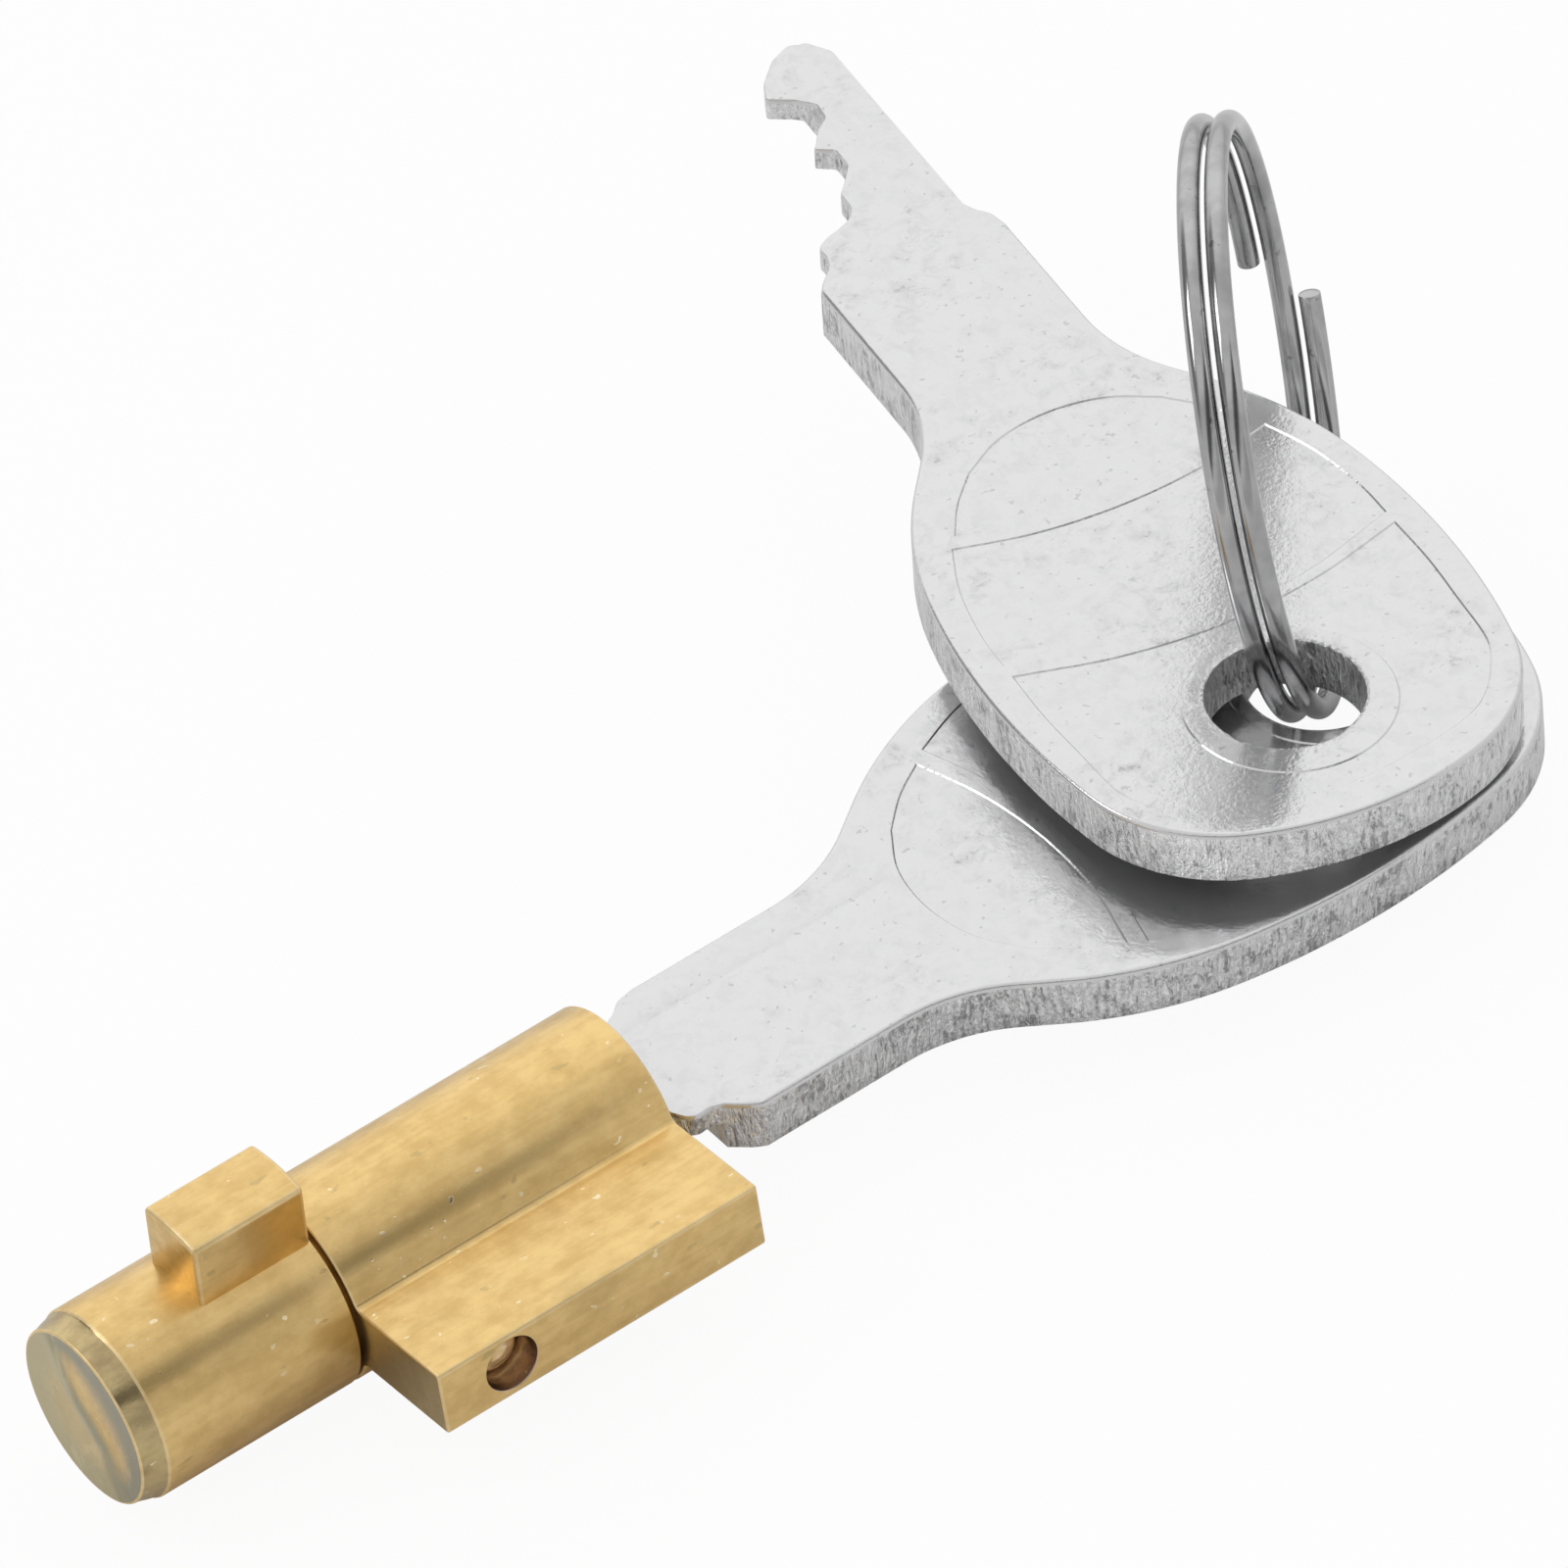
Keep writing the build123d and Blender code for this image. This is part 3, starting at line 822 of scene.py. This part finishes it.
def bowSide(values):
    # half of the bow's edge in (u, v): lines and arcs, then the far end's arc, square to the middle
    spacing = 0.3
    spot, heading = np.array([0.0, values["stemHalf"]]), 0.0
    parts = [spot[None]]
    for kind, size, turn in bowMoves:
        if kind == "line":
            run = np.linspace(0, size, int(size / spacing) + 2)[1:, None]
            points = spot + run * arcPoints((0, 0), 1, heading, heading, 1)
        else:
            count = max(4, int(size * math.radians(abs(turn)) / spacing))
            start = heading - math.copysign(90, turn)
            points = spot + (arcPoints((0, 0), size, start, start + turn, count + 1)
                             - arcPoints((0, 0), size, start, start, 1))[1:]
            heading += turn
        parts.append(points)
        spot = points[-1]
    far = spot[1] / math.cos(math.radians(heading))
    middle = spot[0] + far * math.sin(math.radians(heading))
    return np.concatenate(parts + [arcPoints((middle, 0), far, 90 + heading, 0, 14)[1:]])


def keyOutline(values):
    # whole edge, counter-clockwise: tip, cuts, stem, bow, back of the blade
    upper = bowSide(values)
    lower = upper * np.array([1, -1])
    cuts = denser(softCorners(keyCuts, 0.16), 0.25)[::-1]
    loop = np.concatenate([lower[:-1], upper[::-1], cuts[1:-1]])
    return tidyLoop(loop, 0.01)


def curveThrough(points, count):
    # smooth line through a few points, by Catmull-Rom pieces
    points = np.asarray(points, float)
    ends = np.concatenate([2 * points[:1] - points[1:2], points, 2 * points[-1:] - points[-2:-1]])
    per = max(2, count // (len(points) - 1))
    t = np.linspace(0, 1, per, endpoint=False)[:, None]
    parts = []
    for a, b, c, d in zip(ends, ends[1:], ends[2:], ends[3:]):
        parts.append(0.5 * (2 * b + (c - a) * t + (2 * a - 5 * b + 4 * c - d) * t ** 2
                            + (3 * b - a - 3 * c + d) * t ** 3))
    return np.concatenate(parts + [points[-1:]])


# coined panels as (far side, edge, near side), upper half only: both sides start at the middle
keyPanels = [
    ([(16.7, 0), (16.4, 3.4), (15.55, 6.55)],
     [(15.55, 6.55), (14.0, 5.6), (12.55, 4.3)],
     [(11.0, 0), (11.4, 2.35), (12.55, 4.3)]),
    ([(25.0, 0), (24.55, 4.3), (23.2, 8.5)],
     [(23.2, 8.5), (21.5, 8.45), (19.5, 8.15), (18.0, 7.75), (16.15, 7.0)],
     [(17.35, 0), (17.05, 3.6), (16.15, 7.0)]),
    ([(36.0, 0), (35.6, 3.5), (35.0, 5.6), (34.2, 6.7), (33.0, 7.6), (31.6, 8.2), (29.0, 8.4),
      (26.4, 8.55), (23.85, 8.5)],
     [],
     [(25.5, 0), (25.05, 4.3), (23.85, 8.5)]),
]


def panelLoops(slant):
    # whole panels from their halves: smooth sides that meet at corners, counter-clockwise
    mirror = np.array([1, -1])
    loops = []
    for halves in keyPanels:
        far, edge, near = [np.reshape(half, (-1, 2)) for half in halves]
        sides = [
            np.concatenate([far[:0:-1] * mirror, far]),
            edge,
            np.concatenate([near[::-1], near[1:] * mirror]),
            (edge * mirror)[::-1],
        ]
        loop = np.concatenate([curveThrough(side, 12 * len(side))[:-1] for side in sides if len(side)])
        loops.append(loop - loop[:, 1:] * np.array([slant, 0]))
    return loops


def insetLoop(loop, inset):
    # loop moved inwards, with the extra reach that a sharp corner needs
    one = rightOf(loop - np.roll(loop, 1, 0))
    both = one + rightOf(np.roll(loop, -1, 0) - loop)
    both /= norm(both, axis=1)[:, None]
    reach = 1 / np.maximum((both * one).sum(1), 0.45)
    return loop - both * (inset * reach)[:, None]


def buildKey(name, node, body, values, finishes, place, slant=0.0):
    # two coined faces, the rolled lips and walls between them, the thin web's underside, the hole
    skin = Skin()
    half = values["thickness"] / 2
    ledge = half - values["web"]
    step = (values["stepU"], values["stepV"])
    loop = withStepPoints(keyOutline(values), *step)
    out = loopNormals(loop)
    lowerLoop, web = stepLoops(loop, *step)
    lowerOut = loopNormals(lowerLoop)
    # the rolled lip is wide on the bow and stem, narrow along the cuts
    wide, lowerWide = [0.30 + 0.70 * np.clip((edge[:, 0] + 1.5) / 2.0, 0, 1) for edge in (loop, lowerLoop)]
    panels = panelLoops(slant)
    slope = values["slope"]
    holeCentre = np.array([values["holeU"], 0.0])
    bossCentre = np.array([values["bossU"], 0.0])
    holeRadius = values["hole"] + values["holeProfile"][0][0]
    room = 0.12  # least distance of a free point from the outline and from the panels' slopes

    def coined(spots):
        # depth of the panels and the flute below the face
        depth = np.zeros(len(spots))
        for number, panel in enumerate(panels):
            gap = loopDistance(spots, panel)
            if number == 2:
                gap = np.minimum(gap, np.hypot(*(spots - bossCentre).T) - values["boss"])
            share = np.clip(gap / slope, 0, 1)
            sunk = values["sunk"] * share * share * (3 - 2 * share)
            depth = np.where(withinLoop(spots, panel), sunk, depth)
        flute = np.clip((0.15 - np.abs(spots[:, 1] - values["fluteV"])) / 0.08, 0, 1)
        flute = flute * np.clip((values["fluteEnd"] - spots[:, 0]) / 0.3, 0, 1)
        return depth + values["fluteDeep"] * flute

    for side in (1, -1):
        edge = loop - out * (values["lip"] * wide)[:, None]
        if side == -1:
            # underside of the full-thickness part stops at the milled step
            edge = lowerLoop - lowerOut * (values["underLip"] * lowerWide)[:, None]
        loops = [edge, circlePoints(holeCentre, holeRadius)]
        for panel in panels:
            loops += [insetLoop(panel, slope * share) for share in (0.0, 0.5, 1.0)]
        loops += [circlePoints(bossCentre, values["boss"] + slope * share) for share in (0.0, 0.5, 1.0)]
        us, vs = np.meshgrid(np.arange(-14, 38, 0.8), np.arange(-9.6, 9.7, 0.8))
        extra = np.column_stack([us.ravel(), vs.ravel()])
        if side == 1:
            lines = []
            along = np.arange(-13, values["fluteEnd"], 0.4)
            for v in (-0.15, -0.07, 0.07, 0.15):
                lines.append(np.column_stack([along, np.full(len(along), values["fluteV"] + v)]))
            extra = np.concatenate([extra[np.abs(extra[:, 1] - values["fluteV"]) > 0.3]] + lines)

        def inside(spots):
            return withinLoop(spots, edge) & (np.hypot(*(spots - holeCentre).T) > holeRadius)

        keep = inside(extra) & (loopDistance(extra, edge) > room)
        for panel in panels:
            keep &= loopDistance(extra, panel) > slope + room
        keep &= np.abs(np.hypot(*(extra - bossCentre).T) - values["boss"]) > slope + room

        def lift(spots):
            depth = coined(spots)
            if side == -1:
                # the flute is on the upper face only
                depth = np.where(spots[:, 0] > 9, depth, 0)
            return atHeight(spots, side * (half - depth))

        skin.fill(loops, inside, lift, extra[keep])
        ring = []
        for inset, drop in values["holeProfile"]:
            ring.append(atHeight(circlePoints(holeCentre, values["hole"] + inset), side * (half - drop)))
        skin.rings(ring, 1, flip=side == -1)

    # rolled lip and sheared wall down to the web's underside
    block = []
    for inset, drop in values["lipProfile"]:
        edge = loop - out * (values["lip"] * inset * wide)[:, None]
        block.append(atHeight(edge, half - drop - coined(edge)))
    skin.rings(block, 2)
    upperWall = [block[-1], atHeight(loop, 0.6), atHeight(loop, ledge)]
    skin.rings(upperWall, 1)
    # lower half of the wall, where the key has its full thickness
    lowerWall = []
    for inset, height in ((0, ledge), (0, -0.4), (0, 0.10 - half), (0.3, 0.03 - half), (1, -half)):
        edge = lowerLoop - lowerOut * (values["underLip"] * inset * lowerWide)[:, None]
        lowerWall.append(atHeight(edge, height))
    skin.rings(lowerWall, 1)
    # underside of the thin web, without the empty triangles along its straight sides
    skin.fill([web], lambda spots: withinLoop(spots, web) & (loopDistance(spots, web) > 1e-5),
              lambda spots: atHeight(spots, ledge))
    # wall of the hole
    drop = values["holeProfile"][-1][1]
    circle = circlePoints(holeCentre, values["hole"])
    bore = [atHeight(circle, height) for height in (half - drop, 0.3, -0.3, drop - half)]
    skin.rings(bore, 1)
    makePiece(name, skin, finishes, body, [node], 30, place)


def pointAt(a, b, stepU, stepV):
    # where the edge between two outline points meets the step's lines
    if (a[0] - stepU) * (b[0] - stepU) <= 0 and abs(b[0] - a[0]) > 1e-9:
        spot = a + (b - a) * (stepU - a[0]) / (b[0] - a[0])
        if spot[1] < stepV:
            return spot
    return a + (b - a) * (stepV - a[1]) / (b[1] - a[1])


def thinStretch(loop, stepU, stepV):
    # first and last index of the thin web's outline, and where the step meets it before and after
    thin = (loop[:, 0] < stepU) & (loop[:, 1] < stepV)
    start = int(np.nonzero(thin & ~np.roll(thin, 1))[0][0])
    end = int(np.nonzero(thin & ~np.roll(thin, -1))[0][0])
    before = pointAt(loop[start - 1], loop[start], stepU, stepV)
    after = pointAt(loop[end], loop[(end + 1) % len(loop)], stepU, stepV)
    return start, end, before, after


def withStepPoints(loop, stepU, stepV):
    # outline with the two points where the milled step meets it, and none too close to them
    start, end, before, after = thinStretch(loop, stepU, stepV)
    loop = np.insert(loop, [start, end + 1], [before, after], axis=0)
    gap = np.minimum(norm(loop - before, axis=1), norm(loop - after, axis=1))
    return loop[(gap > 0.05) | (gap < 1e-9)]


def stepLoops(loop, stepU, stepV):
    # edges of the full-thickness part and of the thin web, each closed along the step
    start, end, before, after = thinStretch(loop, stepU, stepV)
    corner = (stepU, stepV)
    closed = []
    for first, last, bridge in ((end + 1, start, (before, corner, after)),
                                (start, end + 1, (after, corner, before))):
        span = np.arange(first, last if first < last else last + len(loop)) % len(loop)
        closed.append(tidyLoop(np.concatenate([loop[span], denser(np.array(bridge), 0.4)])))
    return closed


def keyPlaces():
    # turning matrix and origin of the key in the lock and of the spare key
    upright = restTurn()
    inLock = (upright, upright @ np.array([key["shoulder"], key["offset"], 0.0]))
    facing = np.array(key["spareFacing"])
    facing /= norm(facing)
    along = np.array(key["spareAlong"])
    along -= facing * (along @ facing)
    along /= norm(along)
    local = np.column_stack([along, np.cross(facing, along), facing])
    origin = np.array(key["spareHole"]) - along * key["holeU"]
    spare = (upright @ local, inLock[1] + upright @ origin)
    return inLock, spare


# split ring: a flat helix round a tilted axis
ring = {
    "centre": (51.288, 5.130, 8.818),
    "azimuth": -0.6922,
    "elevation": 0.0761,
    "radius": 11.40,
    "wire": 0.9,
    "pitch": 1.062,
    "endA": 254.75,
    "endB": 263.46,
    "capProfile": ((1.0, 0.0), (0.985, 0.03), (0.93, 0.05), (0.5, 0.05), (0.0, 0.05)),  # share out, push
}


def buildRing(values, finishes):
    # a circle carried along a flat helix of nearly two turns, with cut ends
    skin = Skin()
    flat = math.cos(values["elevation"])
    normal = np.array([math.cos(values["azimuth"]) * flat, math.sin(values["azimuth"]) * flat,
                       math.sin(values["elevation"])])
    across = np.cross(normal, (0, 0, 1))
    across /= norm(across)
    top = np.cross(across, normal)
    whole = values["endA"] - values["endB"] + 720
    travel = np.linspace(0, whole, 420)
    angle = np.radians(values["endA"] - travel)[:, None]
    outward = top * np.cos(angle) + across * np.sin(angle)
    offset = values["pitch"] * (whole / 2 - travel)[:, None] / 360
    line = np.array(values["centre"]) + outward * values["radius"] + normal * offset
    run = np.gradient(line, axis=0)
    run /= norm(run, axis=1)[:, None]
    side = np.cross(run, outward)
    turn = np.linspace(0, 2 * math.pi, 33)[:-1]
    thick = values["wire"] / 2
    circle = outward[:, None] * np.cos(turn)[:, None] + side[:, None] * np.sin(turn)[:, None]
    block = line[:, None] + circle * thick
    skin.rings(block)
    for place, way in ((0, -1), (-1, 1)):
        cap = []
        for size, push in values["capProfile"]:
            cap.append(line[place] + run[place] * way * push + circle[place] * thick * size)
        skin.rings(cap)
    makePiece("splitRingWire", skin, finishes, "ring", ["split_ring"], 50)


# light and floor; places and sizes of the lamp and floor are in metres, except the floor's height
studio = {
    "floor": -4.75,
    "floorHalf": 3.0,
    "floorShade": (0.88, 0.88, 0.88, 1),
    "floorGlow": 0.94,
    "sky": 0.80,
    "bright": 1.10,
    "brightSide": (0.40, 0.66, 0.64),
    "dark": 0.12,
    "lowStrip": 0.40,
    "cornerSide": (-0.60, 0.58, 0.52),
    "cornerDark": 0.7,
    "lampPlace": (-0.35, 0.25, 0.45),
    "lampTarget": (0.03, 0.0, 0.0),
    "lampSize": 0.25,
    "lampPower": 0.6,
}

# the photograph's own viewpoint, found from the keys' and barrel's shapes
viewpoint = {
    "place": (-208.95, -388.05, 384.93),
    "forward": (0.3967, 0.66, -0.638),
    "right": (0.791, -0.5984, -0.1272),
    "sensor": 36.0,
    "lens": 360.0,
    "near": 0.01,
    "far": 20.0,
}


def makeWorld(values):
    # an even pale room with a broad brighter side, dark strips behind the viewer and a dark corner
    world = bpy.data.worlds.new("studioRoom")
    bpy.context.scene.world = world
    look = Look("studioRoom", world)
    direction = look.wire("ShaderNodeTexCoord")

    def towards(side):
        # 1 where the direction is the same as side, -1 where it is opposite
        inputs = {0: direction, 1: Vector(side).normalized()}
        return look.wire("ShaderNodeVectorMath", {"operation": "DOT_PRODUCT"}, inputs, 1)

    # two dark strips with a light line between them, low over the viewer's shoulder
    side, front, rise = look.axes(direction)
    slope = rise / look.sum("MAXIMUM", front * -1.0, 0.02)
    upper = look.ramp(slope, 0.54, 0.72) * (1 - look.ramp(slope, 1.00, 1.42))
    lower = look.ramp(slope, 0.02, 0.14) * (1 - look.ramp(slope, 0.30, 0.46))
    ahead = look.ramp(front * -1.0, 0.15, 0.40) * (1 - look.ramp(side, 0.43, 0.52))
    shade = look.clamp(look.sum("MAXIMUM", upper, lower * values["lowStrip"]) * ahead)
    glow = look.ramp(towards(values["brightSide"]), 0.55, 0.95)
    corner = look.ramp(towards(values["cornerSide"]), 0.80, 0.93)
    level = values["sky"] + glow * (values["bright"] - values["sky"])
    level = level * (1 - shade * (1 - values["dark"])) * (1 - corner * values["cornerDark"])
    # the camera itself sees plain white
    seen = look.wire("ShaderNodeLightPath")
    strength = level * (1 - seen) + seen
    back = look.wire("ShaderNodeBackground", None, {"Color": (1, 1, 1, 1), "Strength": strength})
    look.node("ShaderNodeOutputWorld", None, {"Surface": back})


def makeFloor(values):
    # a square plane; the camera sees it mixed with plain white, so the shadow stays soft
    size = values["floorHalf"]
    height = values["floor"] * millimetre
    mesh = bpy.data.meshes.new("floor")
    corners = [(-size, -size, height), (size, -size, height), (size, size, height), (-size, size, height)]
    mesh.from_pydata(corners, [], [(0, 1, 2, 3)])
    floor = newObject("floor", mesh)
    look = Look("paleFloor")
    soft = look.wire("ShaderNodeBsdfDiffuse", None, {"Color": values["floorShade"]})
    glow = look.wire("ShaderNodeEmission", None, {"Color": (1, 1, 1, 1), "Strength": 1.0})
    seen = look.wire("ShaderNodeLightPath")
    amount = seen * values["floorGlow"]
    both = look.wire("ShaderNodeMixShader", None, {0: amount, 1: soft, 2: glow})
    look.node("ShaderNodeOutputMaterial", None, {"Surface": both})
    mesh.materials.append(look.home)


def makeLamp(values):
    # a square lamp that faces its target
    lamp = bpy.data.lights.new("sideLamp", "AREA")
    lamp.shape = "SQUARE"
    lamp.size = values["lampSize"]
    lamp.energy = values["lampPower"]
    holder = newObject("sideLamp", lamp)
    place = Vector(values["lampPlace"])
    holder.location = place
    holder.rotation_mode = "QUATERNION"
    holder.rotation_quaternion = (place - Vector(values["lampTarget"])).to_track_quat("Z", "Y")


def makeCamera(values):
    # looks along forward, with its right side made square to it
    forward = Vector(values["forward"]).normalized()
    right = Vector(values["right"])
    right = (right - forward * right.dot(forward)).normalized()
    up = right.cross(forward)
    camera = bpy.data.cameras.new("viewpoint")
    camera.sensor_width = values["sensor"]
    camera.lens = values["lens"]
    camera.clip_start = values["near"]
    camera.clip_end = values["far"]
    holder = newObject("viewpoint", camera)
    turned = Matrix((right, up, -forward)).transposed().to_4x4()
    turned.translation = Vector(values["place"]) * millimetre
    holder.matrix_world = turned
    bpy.context.scene.camera = holder


def dress(node, finish):
    # gives a carried-over solid its finish
    node.data.materials.clear()
    node.data.materials.append(finish)


# the -X end faces of both brasses are painted darker, as painted shade
brass = makeBrass("satinBrass", dullShadedEndX=0.02)
tailBrass = makeBrass("satinTailBrass", dullShadedEndX=-9.98)
pinBrass, drilledBrass, wornHighlitBrass, turnedShadedBrass = [
    makeBrass(name, values={**brassFinish, **own}) for name, own in brassKinds.items()
]
keyFace = makeKeyFace("stampedNickel")
keyWall = makeKeyWall("shearedNickel")
keyLip = makeKeyFace("rolledNickel", {**keyFinish, **lipFinish})
wireSteel = makeWireSteel("drawnSteel")
waferBrass = makeStampedBrass("stampedBrass")
springSteel = makeSpringSteel("springSteel")
print("finishes made")

buildHousing(housing, [brass, wornHighlitBrass, drilledBrass])
buildPin(pin, [pinBrass])
buildTail(rotor, [tailBrass, wornHighlitBrass, turnedShadedBrass])
buildLug(rotor, [tailBrass, wornHighlitBrass])
print("lock made")

inLock, spare = keyPlaces()
buildKey("lockKeyNickel", "lock_key", "key", key, [keyFace, keyWall, keyLip], inLock)
buildKey("spareKeyNickel", "spare_key", "spare", key, [keyFace, keyWall, keyLip], spare, key["spareSlant"])
buildRing(ring, [wireSteel])
print("keys and ring made")

for number in (1, 2, 3):
    dress(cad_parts[f"wafer_{number}"], waferBrass)
    dress(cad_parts[f"wafer_spring_{number}"], springSteel)
print("inner pieces finished")

makeWorld(studio)
makeFloor(studio)
makeLamp(studio)
makeCamera(viewpoint)
bpy.context.scene.view_settings.view_transform = "Standard"
print("studio made")
